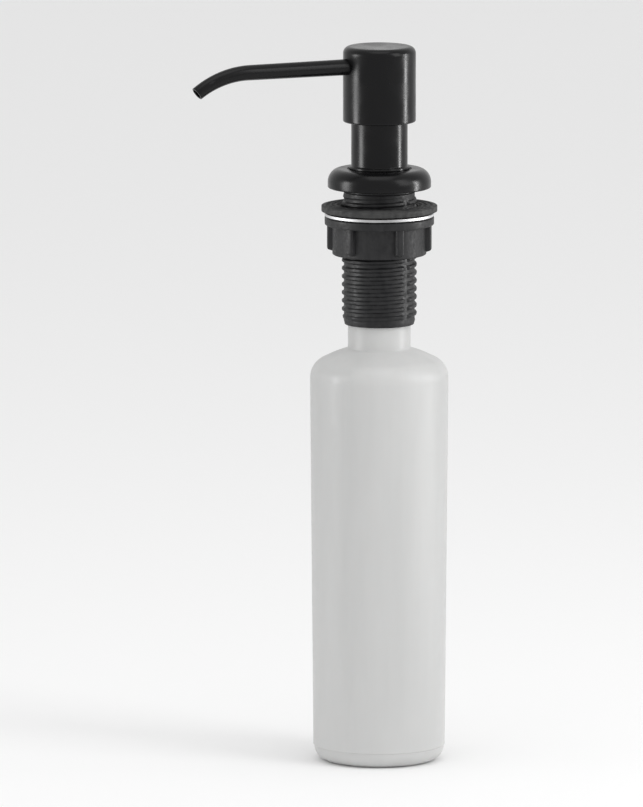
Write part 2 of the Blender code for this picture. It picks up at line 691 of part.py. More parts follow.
# ---- the whole dispenser ---------------------------------------------------------------------
PARTS, CUTTERS = start_clean()
SATIN_BLACK = finish("satin_black", (0.012, 0.012, 0.013), 0.34, 0.5)
MOULDED_BLACK = finish("moulded_black", (0.025, 0.025, 0.027), 0.55)
RUBBER = finish("rubber", (0.03, 0.03, 0.03), 0.8)
STEEL = finish("steel", (0.62, 0.62, 0.63), 0.3, 1.0)
WHITE_PLASTIC = finish("white_plastic", (0.82, 0.82, 0.8), 0.45)
MILKY_PLASTIC = finish("milky_plastic", (0.78, 0.78, 0.76), 0.42)
CLEAR_TUBE = finish("clear_tube", (0.75, 0.76, 0.75), 0.3)

make_flange_gasket()
make_threaded_shank()
make_escutcheon()
make_collar()
make_washers()
make_mounting_nut()
make_bottle()
make_bottle_seal()
make_collar_gasket()
make_chaplet()
make_pump_housing()
make_stem_seal()
make_ball_cage()
make_return_spring()
make_stem()
make_piston()
make_pump_head()
make_head_insert()
make_spout_ring()
make_spout()
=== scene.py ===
from math import atan2, ceil, cos, hypot, pi, radians, sin, tan

import bpy
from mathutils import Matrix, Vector


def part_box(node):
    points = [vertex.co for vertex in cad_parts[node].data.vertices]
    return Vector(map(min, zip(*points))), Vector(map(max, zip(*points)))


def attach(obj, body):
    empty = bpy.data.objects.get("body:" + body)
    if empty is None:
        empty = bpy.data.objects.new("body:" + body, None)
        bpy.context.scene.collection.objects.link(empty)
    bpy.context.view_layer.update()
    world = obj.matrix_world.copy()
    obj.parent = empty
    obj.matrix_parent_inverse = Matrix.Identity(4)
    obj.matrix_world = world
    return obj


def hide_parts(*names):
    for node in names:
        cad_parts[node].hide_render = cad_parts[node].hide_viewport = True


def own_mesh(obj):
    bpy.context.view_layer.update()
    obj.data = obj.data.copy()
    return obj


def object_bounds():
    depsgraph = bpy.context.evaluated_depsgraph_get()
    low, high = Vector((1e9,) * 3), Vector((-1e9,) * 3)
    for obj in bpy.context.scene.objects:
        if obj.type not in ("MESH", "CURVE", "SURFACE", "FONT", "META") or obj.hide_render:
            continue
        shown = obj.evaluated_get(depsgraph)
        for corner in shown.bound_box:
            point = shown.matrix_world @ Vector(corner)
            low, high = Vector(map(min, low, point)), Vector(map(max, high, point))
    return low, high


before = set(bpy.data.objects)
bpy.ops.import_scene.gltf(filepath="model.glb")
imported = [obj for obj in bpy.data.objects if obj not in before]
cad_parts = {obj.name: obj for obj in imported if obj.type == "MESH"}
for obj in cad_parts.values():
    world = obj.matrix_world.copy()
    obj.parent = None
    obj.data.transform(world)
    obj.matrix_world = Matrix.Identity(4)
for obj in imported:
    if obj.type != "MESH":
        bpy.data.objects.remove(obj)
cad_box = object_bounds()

# ----------------------------------------
# Camera.  A long lens at the height of a standing adult's eyes, turned a little towards the
# spout's tip, so that spout, head, flange and bottle all show in outline.
# ----------------------------------------
bpy.ops.object.select_all(action='DESELECT')
low, high = (Vector(corner) for corner in cad_box)
view_turn = radians(66.0)
view_rise = radians(8.7)
view_distance = 5.28
room_round_it = 1.12
picture_height = (high.z - low.z) * room_round_it
middle = Vector((0.0, 0.0, (low.z + high.z) / 2.0))
towards_spout = Vector((-cos(view_turn), -sin(view_turn), 0.0))
aim = middle + towards_spout * (-low.y * sin(view_turn) - high.x) / 2.0
away = Vector((sin(view_turn) * cos(view_rise), -cos(view_turn) * cos(view_rise), sin(view_rise)))
bpy.ops.object.camera_add(location=aim + away * view_distance)
camera = bpy.context.object
camera.name = "camera"
camera.rotation_euler = (-away).to_track_quat('-Z', 'Y').to_euler()
camera.data.lens = camera.data.sensor_width * view_distance / picture_height
camera.data.clip_end = 40.0
bpy.context.scene.camera = camera

# ----------------------------------------
# Studio.  A flat sheet of pale paper under the bottle's foot, white light from all round, a key
# box from the right and one overhead, and two tall strips that only add streaks of gloss.
# ----------------------------------------
floor_height = low.z
bpy.ops.mesh.primitive_plane_add(size=12.0, location=(0.0, 0.0, floor_height))
studio_floor = bpy.context.object
studio_floor.name = "studio_floor"
pale_paper = bpy.data.materials.new("pale_paper")
pale_paper.use_nodes = True
paper = pale_paper.node_tree.nodes["Principled BSDF"]
paper.inputs["Base Color"].default_value = (0.93, 0.93, 0.93, 1.0)
paper.inputs["Roughness"].default_value = 0.9
studio_floor.data.materials.append(pale_paper)

world = bpy.data.worlds.new("studio")
world.use_nodes = True
all_round = world.node_tree.nodes["Background"]
all_round.inputs["Color"].default_value = (1.0, 1.0, 1.0, 1.0)
all_round.inputs["Strength"].default_value = 0.82
bpy.context.scene.world = world


def soft_box(name, turn, rise, distance, width, height, watts):
    """A rectangular soft box that looks at the pump from a compass turn and a rise."""
    turn, rise = radians(turn), radians(rise)
    way = Vector((sin(turn) * cos(rise), -cos(turn) * cos(rise), sin(rise)))
    bpy.ops.object.light_add(type='AREA', location=way * distance)
    light = bpy.context.object
    light.name = name
    light.rotation_euler = (-way).to_track_quat('-Z', 'Y').to_euler()
    light.data.shape = 'RECTANGLE'
    light.data.size = width
    light.data.size_y = height
    light.data.energy = watts
    return light


for strip in (soft_box("left_strip", -14.0, 3.0, 0.62, 0.17, 0.42, 3.0),
              soft_box("right_strip", 157.0, 3.0, 0.62, 0.07, 0.42, 3.2)):
    strip.visible_diffuse = False
soft_box("key_box", 125.0, 28.0, 1.2, 0.5, 0.9, 4.0)
soft_box("overhead_box", 66.0, 78.0, 1.2, 0.8, 0.8, 2.4)
bpy.context.scene.view_settings.view_transform = 'Standard'

# ----------------------------------------
# Flange gasket.  A soft black rubber ring between the deck and the shank's flange, moulded
# with two thin sealing ribs on each face.  Everything above the deck sits on it.
# ----------------------------------------
mm = 0.001
merge_reach = 0.001 * mm


def let_go():
    """Leave nothing selected, so that the next step acts on its own piece only."""
    bpy.ops.object.select_all(action='DESELECT')


def settle():
    """Put the selected piece's place, turn and size into its mesh."""
    bpy.ops.object.transform_apply(location=True, rotation=True, scale=True)


def turned_piece(name, outline, sides=96, ring=True):
    """Draw one side of a round piece's section point by point and spin it into a solid."""
    let_go()
    here = outline[0]
    bpy.ops.mesh.primitive_plane_add(size=mm, location=(here[0], 0.0, here[1]))
    piece = bpy.context.object
    piece.name = piece.data.name = name
    bpy.ops.object.mode_set(mode='EDIT')
    bpy.ops.mesh.merge(type='CENTER')
    for r, z in outline[1:] + (outline[:1] if ring else []):
        step = (r - here[0], 0.0, z - here[1])
        bpy.ops.mesh.extrude_vertices_move(TRANSFORM_OT_translate={"value": step})
        here = (r, z)
    bpy.ops.mesh.select_all(action='SELECT')
    bpy.ops.mesh.remove_doubles(threshold=merge_reach)
    bpy.ops.mesh.spin(steps=sides, angle=2.0 * pi, center=(0.0, 0.0, 0.0), axis=(0.0, 0.0, 1.0))
    bpy.ops.mesh.select_all(action='SELECT')
    bpy.ops.mesh.remove_doubles(threshold=merge_reach)
    bpy.ops.mesh.normals_make_consistent(inside=False)
    bpy.ops.object.mode_set(mode='OBJECT')
    settle()
    return piece


def rounded(centre_r, centre_z, reach, start, end, steps=6, rise=None):
    """Points round a corner of a section, in degrees from outwards towards upwards."""
    angles = [radians(start + (end - start) * step / steps) for step in range(steps + 1)]
    return [(centre_r + reach * cos(a), centre_z + (rise or reach) * sin(a)) for a in angles]


def ease_corners(piece, width, segments=3, degrees=35.0):
    """Take the sharpness off a piece's corners with a small rounded bevel."""
    bpy.context.view_layer.objects.active = piece
    ease = piece.modifiers.new("ease", 'BEVEL')
    ease.width = width
    ease.segments = segments
    ease.limit_method = 'ANGLE'
    ease.angle_limit = radians(degrees)
    ease.use_clamp_overlap = True
    bpy.ops.object.modifier_apply(modifier=ease.name)


def fit_piece(piece, finish, slot_name, body, *nodes):
    """Shade, coat and place a finished piece in its body, and hide the CAD node it stands for;
    slot_name is not used.
    """
    let_go()
    piece.select_set(True)
    bpy.context.view_layer.objects.active = piece
    bpy.ops.object.shade_smooth_by_angle(angle=radians(32.0))
    piece.data.materials.clear()
    piece.data.materials.append(finish)
    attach(piece, body)
    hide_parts(*nodes)


def bare_finish(name, colour, roughness, metallic=0.0):
    """A shader with what is the same all over the surface set on its own sockets."""
    finish = bpy.data.materials.new(name)
    finish.use_nodes = True
    shader = finish.node_tree.nodes["Principled BSDF"]
    shader.inputs["Base Color"].default_value = (*colour, 1.0)
    shader.inputs["Roughness"].default_value = roughness
    shader.inputs["Metallic"].default_value = metallic
    return finish, finish.node_tree, shader


def mottling(tree, scale, detail=3.0, stretch=(1.0, 1.0, 1.0)):
    """Noise in the object's own space, scale in cells a metre, squeezed along its axes."""
    place = tree.nodes.new("ShaderNodeTexCoord")
    squeeze = tree.nodes.new("ShaderNodeMapping")
    squeeze.inputs["Scale"].default_value = stretch
    noise = tree.nodes.new("ShaderNodeTexNoise")
    noise.inputs["Scale"].default_value = scale
    noise.inputs["Detail"].default_value = detail
    tree.links.new(place.outputs["Object"], squeeze.inputs["Vector"])
    tree.links.new(squeeze.outputs["Vector"], noise.inputs["Vector"])
    return noise.outputs["Fac"]


def spread_of(tree, value, low, high, start=0.35, end=0.65):
    """A noise value spread over a range of numbers."""
    spread = tree.nodes.new("ShaderNodeMapRange")
    spread.inputs["From Min"].default_value = start
    spread.inputs["From Max"].default_value = end
    spread.inputs["To Min"].default_value = low
    spread.inputs["To Max"].default_value = high
    tree.links.new(value, spread.inputs["Value"])
    return spread.outputs["Result"]


def tinted(tree, value, first, second):
    """A colour that goes from one to the other with a value."""
    mix = tree.nodes.new("ShaderNodeMix")
    mix.data_type = 'RGBA'
    mix.inputs["A"].default_value = (*first, 1.0)
    mix.inputs["B"].default_value = (*second, 1.0)
    tree.links.new(value, mix.inputs["Factor"])
    return mix.outputs["Result"]


def colour_drift(tree, shader, value, first, second):
    """Let the colour drift between two with a value."""
    tree.links.new(tinted(tree, value, first, second), shader.inputs["Base Color"])


def roughness_drift(tree, shader, value, low, high, start=0.35, end=0.65):
    """Let the roughness drift between two numbers with a value."""
    tree.links.new(spread_of(tree, value, low, high, start, end), shader.inputs["Roughness"])


def surface_relief(tree, shader, *layers):
    """Bump from one or more values, each with its height in metres, one over the other."""
    below = None
    for value, height in layers:
        bump = tree.nodes.new("ShaderNodeBump")
        bump.inputs["Distance"].default_value = height
        tree.links.new(value, bump.inputs["Height"])
        if below:
            tree.links.new(below, bump.inputs["Normal"])
        below = bump.outputs["Normal"]
    tree.links.new(below, shader.inputs["Normal"])


rubber, tree, shader = bare_finish("moulded_rubber", (0.03, 0.03, 0.031), 0.75)
shader.inputs["Specular IOR Level"].default_value = 0.35
bloom = spread_of(tree, mottling(tree, 260.0, 4.0), 0.0, 1.0)
colour_drift(tree, shader, bloom, (0.022, 0.022, 0.023), (0.05, 0.05, 0.049))
roughness_drift(tree, shader, mottling(tree, 700.0), 0.62, 0.88)
surface_relief(tree, shader, (mottling(tree, 3200.0, 2.0), 0.02 * mm))


def ribbed_ring(name, outer, bore, bottom, top, ribs, rib_height, ease):
    """A moulded ring with round sealing ribs on both faces."""
    width = (outer - bore) / (2.0 * len(ribs) + 1.0)
    down = [(outer, bottom + rib_height)]
    for share in ribs:
        middle_r = bore + (outer - bore) * share
        down += [(middle_r + width / 2.0, bottom + rib_height), (middle_r + width / 4.0, bottom),
                 (middle_r - width / 4.0, bottom), (middle_r - width / 2.0, bottom + rib_height)]
    down += [(bore, bottom + rib_height)]
    up = [(r, top + bottom - z) for r, z in reversed(down)]
    piece = turned_piece(name, down + up)
    ease_corners(piece, ease, 2)
    return piece


gasket_bore = 14.05 * mm
low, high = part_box("flange_gasket")
gasket = ribbed_ring("flange_gasket_ring", high.x, gasket_bore, low.z, high.z, (0.7, 0.3),
                     0.2 * mm, 0.12 * mm)
fit_piece(gasket, rubber, "rubber", "base", "flange_gasket")

# ----------------------------------------
# Shank.  Black glass-filled plastic tube that hangs through the deck hole.  Outside it has a
# coarse right-hand thread for the nut, flattened along the mould's parting lines; inside its
# lower end it has the thread that takes the bottle.
# ----------------------------------------
def turn_of(x, y):
    """Angle of a point round the axis, in radians from +X towards +Y."""
    return atan2(y, x) % (2.0 * pi)


def wind_thread(piece, radius, bottom, top, depth, pitch, flats=()):
    """Move a plain stretch of wall in or out along a right-hand helix of round-topped turns."""
    for vertex in piece.data.vertices:
        x, y, z = vertex.co
        r = hypot(x, y)
        if abs(r - radius) > 0.01 * mm or not bottom < z < top:
            continue
        turn = turn_of(x, y) / (2.0 * pi)
        wave = (z / pitch - turn) % 1.0
        crest = min(1.0, max(0.0, 2.1 - abs(wave - 0.5) * 7.0))
        ends = min(1.0, (z - bottom) / pitch, (top - z) / pitch)
        flat = 1.0
        for side in flats:
            off = abs((turn * 360.0 - side + 180.0) % 360.0 - 180.0)
            flat = min(flat, max(0.0, (off - 3.0) / 4.0))
        shift = depth * crest * ends * flat
        vertex.co = (x * (r + shift) / r, y * (r + shift) / r, z)


def plain_wall(radius, start, end, spacing):
    """Section points at even heights down or up a plain wall."""
    count = max(1, ceil(abs(end - start) / spacing))
    return [(radius, start + (end - start) * i / count) for i in range(count + 1)]


moulded_black, tree, shader = bare_finish("moulded_black_plastic", (0.012, 0.012, 0.013), 0.44)
shader.inputs["Specular IOR Level"].default_value = 0.28
fibres = spread_of(tree, mottling(tree, 520.0, 5.0, (1.0, 1.0, 0.4)), 0.0, 1.0)
colour_drift(tree, shader, fibres, (0.009, 0.009, 0.01), (0.017, 0.017, 0.018))
roughness_drift(tree, shader, mottling(tree, 900.0), 0.4, 0.62)
surface_relief(tree, shader, (mottling(tree, 180.0), 0.02 * mm),
               (mottling(tree, 2600.0, 3.0), 0.012 * mm))

shank_crest = 13.75 * mm
shank_thread_depth = 0.75 * mm
shank_pitch = 3.0 * mm
shank_root = shank_crest - shank_thread_depth
socket_radius = 12.25 * mm
socket_depth = 22.0 * mm
socket_thread_depth = 0.35 * mm
bottle_pitch = 3.2 * mm
shank_bore = 10.65 * mm
low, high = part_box("threaded_shank")
flange_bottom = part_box("flange_gasket")[1].z + 0.3 * mm
ledge = low.z + socket_depth
shank_outline = [(high.x - 0.4 * mm, high.z), (high.x, high.z - 0.4 * mm), (high.x, flange_bottom),
                 (shank_crest, flange_bottom), (shank_crest, flange_bottom - 2.6 * mm),
                 (shank_root, flange_bottom - 3.2 * mm)]
shank_outline += plain_wall(shank_root, flange_bottom - 3.5 * mm, low.z + 1.4 * mm, 0.3 * mm)
shank_outline += [(shank_root - 0.3 * mm, low.z), (socket_radius + 0.3 * mm, low.z)]
shank_outline += plain_wall(socket_radius, low.z + 0.6 * mm, ledge - 1.0 * mm, 0.4 * mm)
shank_outline += [(socket_radius, ledge), (shank_bore, ledge), (shank_bore, high.z - 0.3 * mm),
                  (shank_bore + 0.3 * mm, high.z)]
shank = turned_piece("shank_with_thread", shank_outline, 120)
wind_thread(shank, shank_root, low.z + 1.0 * mm, flange_bottom - 3.4 * mm, shank_thread_depth,
            shank_pitch, (24.0, 204.0))
wind_thread(shank, socket_radius, low.z + 0.4 * mm, ledge - 0.6 * mm, socket_thread_depth,
            bottle_pitch)
fit_piece(shank, moulded_black, "moulded_black", "base", "threaded_shank")

# ----------------------------------------
# Escutcheon.  Cast zinc trim ring with a satin black coat.  A short upright edge and a convex
# bevel up to a flat top with a shallow seat for the collar's bead.
# ----------------------------------------
satin_black, tree, shader = bare_finish("satin_black_coat", (0.004, 0.004, 0.0045), 0.26)
shader.inputs["Specular IOR Level"].default_value = 0.2
# Painted edge highlight: the coat's colour is lightened on sharp convex edges, standing in for the
# light those edges catch.
edge_pointiness = tree.nodes.new("ShaderNodeNewGeometry")
painted_edge_highlight = spread_of(tree, edge_pointiness.outputs["Pointiness"], 0.0, 1.0, 0.53, 0.62)
colour_drift(tree, shader, painted_edge_highlight, (0.0028, 0.0028, 0.0032), (0.014, 0.014, 0.015))
roughness_drift(tree, shader, mottling(tree, 140.0, 5.0), 0.21, 0.3)
surface_relief(tree, shader, (mottling(tree, 420.0, 2.0), 0.007 * mm),
               (mottling(tree, 2800.0, 2.0), 0.0015 * mm))

trim_bevel_width = 4.4 * mm
trim_bevel_height = 5.0 * mm
trim_bore = 10.65 * mm
seat_radius = 11.85 * mm
seat_depth = 0.6 * mm
low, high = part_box("escutcheon")
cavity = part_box("threaded_shank")[1].x + 0.3 * mm
cavity_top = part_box("threaded_shank")[1].z + 0.3 * mm
trim_outline = [(trim_bore, high.z - seat_depth), (seat_radius - 0.2 * mm, high.z - seat_depth),
                (seat_radius, high.z - seat_depth + 0.2 * mm), (seat_radius, high.z - 0.15 * mm),
                (seat_radius + 0.15 * mm, high.z)]
trim_outline += rounded(high.x - trim_bevel_width, high.z - trim_bevel_height, trim_bevel_width,
                        90.0, 0.0, 18, trim_bevel_height)
trim_outline += rounded(high.x - 0.5 * mm, low.z + 0.5 * mm, 0.5 * mm, 0.0, -90.0, 5)
trim_outline += [(cavity + 0.2 * mm, low.z), (cavity, low.z + 0.2 * mm), (cavity, cavity_top),
                 (trim_bore, cavity_top)]
trim = turned_piece("escutcheon_trim", trim_outline, 128)
fit_piece(trim, satin_black, "satin_black", "base", "escutcheon")

# ----------------------------------------
# Collar.  Turned brass barrel in the same satin black.  Its foot bead holds the trim ring
# down, its spigot screws into the shank, and the pump drops into its bore from above.
# ----------------------------------------
barrel_radius = 10.35 * mm
barrel_wall = 1.6 * mm
bead_height = 1.35 * mm
bead_hollow = 0.35 * mm
bead_round = 0.55 * mm
low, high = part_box("collar")
bead_radius = high.x
bead_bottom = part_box("escutcheon")[1].z - seat_depth + 0.3 * mm
bore = barrel_radius - barrel_wall
barrel_outline = [(barrel_radius - 0.35 * mm, high.z), (barrel_radius, high.z - 0.35 * mm)]
barrel_outline += rounded(barrel_radius + bead_hollow, bead_bottom + bead_height + bead_hollow,
                          bead_hollow, 180.0, 270.0, 5)
barrel_outline += rounded(bead_radius - bead_round, bead_bottom + bead_height - bead_round,
                          bead_round, 90.0, 0.0, 7)
barrel_outline += rounded(bead_radius - 0.3 * mm, bead_bottom + 0.3 * mm, 0.3 * mm, 0.0, -90.0, 5)
barrel_outline += [(barrel_radius, bead_bottom)]
barrel_outline += plain_wall(barrel_radius, bead_bottom - 6.0 * mm, low.z + 1.0 * mm, 0.25 * mm)
barrel_outline += [(barrel_radius - 0.6 * mm, low.z), (bore + 0.3 * mm, low.z),
                   (bore, low.z + 0.3 * mm), (bore, high.z - 0.8 * mm), (bore + 0.5 * mm, high.z)]
barrel = turned_piece("collar_barrel", barrel_outline, 128)
wind_thread(barrel, barrel_radius, low.z + 0.5 * mm, bead_bottom - 5.5 * mm, -0.4 * mm, 1.0 * mm)
fit_piece(barrel, satin_black, "satin_black", "base", "collar")

# ----------------------------------------
# Under-deck washers.  A thick rubber ring with three sealing ribs on each face, and under it
# a stamped and brushed steel friction washer that the nut turns against.
# ----------------------------------------
low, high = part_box("under_deck_washer")
rubber_washer = ribbed_ring("under_deck_rubber", high.x, gasket_bore, low.z, high.z,
                            (0.78, 0.5, 0.22), 0.25 * mm, 0.12 * mm)
fit_piece(rubber_washer, rubber, "rubber", "clamp", "under_deck_washer")

brushed_steel, tree, shader = bare_finish("brushed_stamped_steel", (0.46, 0.46, 0.465), 0.36, 1.0)
shader.inputs["Anisotropic"].default_value = 0.5
place = tree.nodes.new("ShaderNodeTexCoord")
rings = tree.nodes.new("ShaderNodeTexWave")
rings.wave_type = 'RINGS'
rings.rings_direction = 'Z'
rings.inputs["Scale"].default_value = 900.0
rings.inputs["Distortion"].default_value = 6.0
rings.inputs["Detail"].default_value = 4.0
rings.inputs["Detail Scale"].default_value = 2.0
tree.links.new(place.outputs["Object"], rings.inputs["Vector"])
smudges = spread_of(tree, mottling(tree, 90.0, 4.0), 0.0, 1.0)
colour_drift(tree, shader, smudges, (0.38, 0.38, 0.385), (0.5, 0.5, 0.505))
roughness_drift(tree, shader, rings.outputs["Fac"], 0.3, 0.46, 0.0, 1.0)
surface_relief(tree, shader, (rings.outputs["Fac"], 0.006 * mm),
               (mottling(tree, 1500.0), 0.004 * mm))

low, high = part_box("friction_washer")
washer_edge = 0.35 * mm
burr = 0.06 * mm
washer_outline = rounded(high.x - washer_edge, high.z - washer_edge, washer_edge, 90.0, 0.0, 4)
washer_outline += [(high.x, low.z + burr), (high.x - burr, low.z),
                   (gasket_bore + burr, low.z), (gasket_bore, low.z + burr)]
washer_outline += rounded(gasket_bore + washer_edge, high.z - washer_edge, washer_edge,
                          180.0, 90.0, 4)
steel_washer = turned_piece("stamped_steel_washer", washer_outline, 128)
fit_piece(steel_washer, brushed_steel, "steel", "clamp", "friction_washer")

# ----------------------------------------
# Mounting nut.  Black glass-filled plastic, moulded in one: a flange, a threaded hub, and six
# round-cornered finger ribs.  It is spun up the shank by hand from under the sink.
# ----------------------------------------
def weld(piece, other, operation='UNION'):
    """Join another solid to a piece, or cut it away."""
    bpy.context.view_layer.objects.active = piece
    join = piece.modifiers.new("weld", 'BOOLEAN')
    join.object = other
    join.operation = operation
    join.solver = 'EXACT'
    bpy.ops.object.modifier_apply(modifier=join.name)
    bpy.data.objects.remove(other, do_unlink=True)


nut_flange = 3.0 * mm
nut_wall = 3.2 * mm
rib_count = 6
rib_width = 3.4 * mm
rib_inset = 0.85 * mm
rib_lift = 0.75 * mm
rib_draft = 0.82
rib_lead = 0.9 * mm
hub_lead = 0.6 * mm
low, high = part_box("mounting_nut")
hub = gasket_bore + nut_wall
nut_outline = [(high.x, high.z - 0.3 * mm), (high.x, high.z - nut_flange + 0.5 * mm)]
nut_outline += rounded(high.x - 0.5 * mm, high.z - nut_flange + 0.5 * mm, 0.5 * mm, 0.0, -90.0, 3)
nut_outline += rounded(hub + 0.8 * mm, high.z - nut_flange - 0.8 * mm, 0.8 * mm, 90.0, 180.0, 4)
nut_outline += rounded(hub - 0.5 * mm, low.z + 0.5 * mm, 0.5 * mm, 0.0, -90.0, 4)
nut_outline += [(gasket_bore + hub_lead, low.z)]
nut_outline += plain_wall(gasket_bore, low.z + 0.7 * mm, high.z - 0.7 * mm, 0.3 * mm)
nut_outline += [(gasket_bore + hub_lead, high.z), (high.x - 0.3 * mm, high.z)]
nut = turned_piece("nut_with_ribs", nut_outline, 120)
wind_thread(nut, gasket_bore, low.z + 0.5 * mm, high.z - 0.5 * mm, 0.6 * mm, shank_pitch)
rib_reach = high.x - rib_inset
rib_root = hub - 1.2 * mm
rib_low = low.z + rib_lift
rib_high = high.z - nut_flange + 1.2 * mm
let_go()
bpy.ops.mesh.primitive_cube_add(size=1.0, location=((rib_reach + rib_root) / 2.0, 0.0,
                                                    (rib_low + rib_high) / 2.0),
                                scale=(rib_reach - rib_root, rib_width, rib_high - rib_low))
rib = bpy.context.object
settle()
for vertex in rib.data.vertices:
    if vertex.co.x > hub:
        vertex.co.y *= rib_draft
        vertex.co.z += rib_lead if vertex.co.z < (rib_low + rib_high) / 2.0 else 0.0
ease_corners(rib, 0.7 * mm, 4)
bpy.ops.object.mode_set(mode='EDIT')
bpy.ops.mesh.select_all(action='SELECT')
bpy.ops.mesh.quads_convert_to_tris()
bpy.ops.object.mode_set(mode='OBJECT')
for number in range(rib_count):
    let_go()
    one = rib.copy()
    one.data = rib.data.copy()
    bpy.context.collection.objects.link(one)
    one.rotation_euler.z = 2.0 * pi * number / rib_count
    one.select_set(True)
    bpy.context.view_layer.objects.active = one
    settle()
    weld(nut, one)
bpy.data.objects.remove(rib, do_unlink=True)
fit_piece(nut, moulded_black, "moulded_black", "nut", "mounting_nut")

# ----------------------------------------
# Bottle.  Blown natural polyethylene, milky and slightly see-through, with a threaded neck, a
# sloping shoulder, a faint taper, two parting lines, a step at the heel and a pushed-up base.
# ----------------------------------------
milky, tree, shader = bare_finish("milky_polyethylene", (0.6, 0.6, 0.592), 0.45)
shader.inputs["Subsurface Weight"].default_value = 0.35
shader.inputs["Subsurface Radius"].default_value = (1.0, 0.95, 0.9)
shader.inputs["Subsurface Scale"].default_value = 4.0 * mm
shader.inputs["Specular IOR Level"].default_value = 0.3
flow = spread_of(tree, mottling(tree, 60.0, 4.0, (1.0, 1.0, 0.12)), 0.0, 1.0, 0.3, 0.7)
colour_drift(tree, shader, flow, (0.57, 0.572, 0.566), (0.625, 0.625, 0.618))
roughness_drift(tree, shader, mottling(tree, 220.0, 5.0), 0.38, 0.52)
surface_relief(tree, shader, (mottling(tree, 45.0, 2.0, (1.0, 1.0, 0.35)), 0.12 * mm),
               (mottling(tree, 1400.0, 3.0), 0.006 * mm))

bottle_wall = 1.3 * mm
neck_outer = 11.5 * mm
neck_bore = 10.0 * mm
neck_showing = 9.0 * mm
body_taper = 1.2 * mm
slope_degrees = 22.0
shoulder_slope = radians(slope_degrees)
shoulder_round = 8.0 * mm
heel_round = 5.5 * mm
heel_step = 0.32 * mm
push_up = 1.4 * mm
foot_ring = 3.0 * mm
neck_fillet = 0.9 * mm
shoulder_crown = 0.25 * mm
thread_above_foot = 12.0 * mm
mould_mark_outer = 9.0 * mm
mould_mark_inner = 7.8 * mm
mould_mark_depth = 0.15 * mm
mould_mark_slope = 0.3 * mm
low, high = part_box("bottle")
body_radius = high.x
foot_radius = body_radius - body_taper
neck_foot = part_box("threaded_shank")[0].z - neck_showing
centre_r = body_radius - shoulder_round
tangent_r = centre_r + shoulder_round * sin(shoulder_slope)
tangent_z = neck_foot - (tangent_r - neck_outer) * tan(shoulder_slope)
centre_z = tangent_z - shoulder_round * cos(shoulder_slope)


def bottle_skin(neck, inset, fillet):
    """Section of one skin of the bottle, from the neck's foot down to the heel."""
    fillet_centre_r = neck + fillet
    drop = (fillet_centre_r - neck_outer) * tan(shoulder_slope) - fillet / cos(shoulder_slope)
    fillet_centre_z = neck_foot - inset / cos(shoulder_slope) - drop
    skin = rounded(fillet_centre_r, fillet_centre_z, fillet, 180.0, 270.0 - slope_degrees, 6)
    start_r, start_z = skin[-1]
    round_start = rounded(centre_r, centre_z, shoulder_round - inset, 90.0 - slope_degrees, 0.0, 14)
    for share in (0.25, 0.5, 0.75):
        r = start_r + (round_start[0][0] - start_r) * share
        z = start_z + (round_start[0][1] - start_z) * share
        skin.append((r, z + shoulder_crown * sin(pi * share)))
    skin += round_start
    heel_top = low.z + heel_round + 0.4 * mm
    for step in range(1, 16):
        share = step / 16.0
        skin.append((body_radius - inset - body_taper * share,
                     centre_z + (heel_top - centre_z) * share))
    skin += [(foot_radius - inset, heel_top),
             (foot_radius - inset - heel_step, heel_top - 0.3 * mm)]
    skin += rounded(foot_radius - heel_step - heel_round, low.z + heel_round, heel_round - inset,
                    0.0, -90.0, 10)[1:]
    return skin


outer_skin = bottle_skin(neck_outer, 0.0, neck_fillet)
inner_skin = bottle_skin(neck_bore, bottle_wall, neck_fillet + bottle_wall)
floor_top = low.z + push_up + bottle_wall
foot_inner = outer_skin[-1][0] - foot_ring
bottle_outline = [(0.0, floor_top), (6.0 * mm, floor_top), (foot_inner - 2.4 * mm, floor_top)]
bottle_outline += reversed(inner_skin)
bottle_outline += [(neck_bore, high.z - 0.2 * mm), (neck_bore + 0.2 * mm, high.z),
                   (neck_outer - 0.4 * mm, high.z), (neck_outer, high.z - 0.4 * mm)]
bottle_outline += plain_wall(neck_outer, high.z - 1.0 * mm, neck_foot + thread_above_foot, 0.4 * mm)
bottle_outline += outer_skin
bottle_outline += [(foot_inner, low.z), (foot_inner - 0.5 * mm, low.z + 0.2 * mm),
                   (foot_inner - push_up, low.z + push_up - 0.2 * mm),
                   (foot_inner - push_up - 0.6 * mm, low.z + push_up),
                   (mould_mark_outer, low.z + push_up),
                   (mould_mark_outer - mould_mark_slope, low.z + push_up - mould_mark_depth),
                   (mould_mark_inner + mould_mark_slope, low.z + push_up - mould_mark_depth),
                   (mould_mark_inner, low.z + push_up), (0.0, low.z + push_up)]
bottle = turned_piece("blown_bottle", bottle_outline, 144, ring=False)
wind_thread(bottle, neck_outer, neck_foot + thread_above_foot, high.z - 0.8 * mm, 0.42 * mm,
            bottle_pitch)
parting_turn = 309.0
ridge_height = 0.26 * mm
for vertex in bottle.data.vertices:
    r = hypot(vertex.co.x, vertex.co.y)
    turn = turn_of(vertex.co.x, vertex.co.y) * 180.0 / pi
    off = abs((turn - parting_turn + 90.0) % 180.0 - 90.0)
    on_body = vertex.co.z < neck_foot - 0.5 * mm and r > foot_inner + 0.5 * mm
    outside = any(abs(r - skin_r) < 0.02 * mm and abs(vertex.co.z - skin_z) < 0.02 * mm
                  for skin_r, skin_z in outer_skin)
    if on_body and outside and off < 1.0:
        vertex.co.x *= (r + ridge_height) / r
        vertex.co.y *= (r + ridge_height) / r
fit_piece(bottle, milky, "milky_plastic", "bottle", "bottle")

low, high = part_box("bottle_seal")
bottle_seal = ribbed_ring("bottle_rim_seal", high.x, neck_bore, low.z, high.z, (0.5,),
                          0.25 * mm, 0.1 * mm)
fit_piece(bottle_seal, rubber, "rubber", "neck_seal", "bottle_seal")

